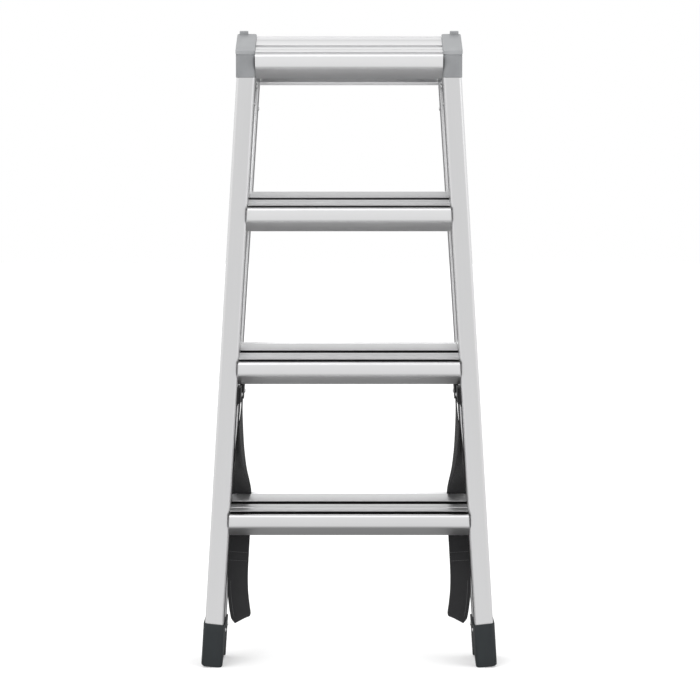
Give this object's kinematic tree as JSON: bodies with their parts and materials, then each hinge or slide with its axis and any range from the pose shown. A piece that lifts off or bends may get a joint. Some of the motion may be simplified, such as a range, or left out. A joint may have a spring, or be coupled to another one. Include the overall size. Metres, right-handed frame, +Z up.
{
  "type": "double-sided step ladder",
  "caption": "Double-sided aluminium step ladder, folded shut, with grooved treads, grey hinge caps, black feet and slack webbing straps.",
  "frame": {"origin": "on the floor, midway between the four feet, with the ladder folded shut", "axes": "+X to the viewer's right as one faces the front frame, +Y from the front frame to the rear frame, +Z up"},
  "size_m": [0.518, 0.2572, 1.1107],
  "materials": {
    "anodised_aluminium": "satin, silver anodised, fine lines along the tube",
    "tread_aluminium": "satin extrusion, fine lines along the tread",
    "grey_plastic": "moulded, fine grain",
    "black_rubber": "moulded, satin, slightly blue black",
    "black_plastic": "moulded, satin",
    "bright_steel": "zinc plated",
    "black_webbing": "woven polyester webbing, matt"
  },
  "bodies": {
    "front_frame": {"front_tread_bottom": "tread_aluminium", "front_tread_second": "tread_aluminium", "front_tread_third": "tread_aluminium", "front_tread_top": "tread_aluminium", "front_stile_left": "anodised_aluminium", "front_hinge_cap_left": "grey_plastic", "front_foot_left": "black_rubber", "front_strap_clip_left": "black_plastic", "front_cap_rivet_left": "bright_steel", "front_foot_rivet_left": "bright_steel", "front_strap_rivet_left": "bright_steel", "front_stile_right": "anodised_aluminium", "front_hinge_cap_right": "grey_plastic", "front_foot_right": "black_rubber", "front_strap_clip_right": "black_plastic", "front_cap_rivet_right": "bright_steel", "front_foot_rivet_right": "bright_steel", "front_strap_rivet_right": "bright_steel", "pivot_bolt_left": "bright_steel", "pivot_bolt_right": "bright_steel", "pivot_nut_left": "bright_steel", "pivot_nut_right": "bright_steel"},
    "rear_frame": {"rear_tread_bottom": "tread_aluminium", "rear_tread_second": "tread_aluminium", "rear_tread_third": "tread_aluminium", "rear_tread_top": "tread_aluminium", "rear_stile_left": "anodised_aluminium", "rear_hinge_cap_left": "grey_plastic", "rear_foot_left": "black_rubber", "rear_strap_clip_left": "black_plastic", "rear_cap_rivet_left": "bright_steel", "rear_foot_rivet_left": "bright_steel", "rear_strap_rivet_left": "bright_steel", "rear_stile_right": "anodised_aluminium", "rear_hinge_cap_right": "grey_plastic", "rear_foot_right": "black_rubber", "rear_strap_clip_right": "black_plastic", "rear_cap_rivet_right": "bright_steel", "rear_foot_rivet_right": "bright_steel", "rear_strap_rivet_right": "bright_steel"},
    "strap_front_leg_left": {"strap_front_left": "black_webbing"},
    "strap_rear_leg_left": {"strap_rear_left": "black_webbing"},
    "strap_front_leg_right": {"strap_front_right": "black_webbing"},
    "strap_rear_leg_right": {"strap_rear_right": "black_webbing"}
  },
  "joints": [
    {"name": "frame_fold", "type": "hinge", "parent": "front_frame", "child": "rear_frame", "pos_m": [0, 0, 1.01898], "axis": [1, 0, 0], "range_deg": [0, 45.92]},
    {"name": "strap_swing_left", "type": "hinge", "parent": "front_frame", "child": "strap_front_leg_left", "pos_m": [0, -0.05647, 0.47865], "axis": [1, 0, 0], "range_deg": [0, 54.4]},
    {"name": "strap_bend_left", "type": "hinge", "parent": "strap_front_leg_left", "child": "strap_rear_leg_left", "pos_m": [0, 0, 0.06565], "axis": [1, 0, 0], "range_deg": [-62.7, 0]},
    {"name": "strap_swing_right", "type": "hinge", "parent": "front_frame", "child": "strap_front_leg_right", "pos_m": [0, -0.05647, 0.47865], "axis": [1, 0, 0], "range_deg": [0, 54.4]},
    {"name": "strap_bend_right", "type": "hinge", "parent": "strap_front_leg_right", "child": "strap_rear_leg_right", "pos_m": [0, 0, 0.06565], "axis": [1, 0, 0], "range_deg": [-62.7, 0]}
  ],
  "couplings": [
    {"joint": "strap_swing_left", "follows": "frame_fold", "ratio": 1.1815},
    {"joint": "strap_bend_left", "follows": "frame_fold", "ratio": -1.363},
    {"joint": "strap_swing_right", "follows": "frame_fold", "ratio": 1.1815},
    {"joint": "strap_bend_right", "follows": "frame_fold", "ratio": -1.363}
  ]
}
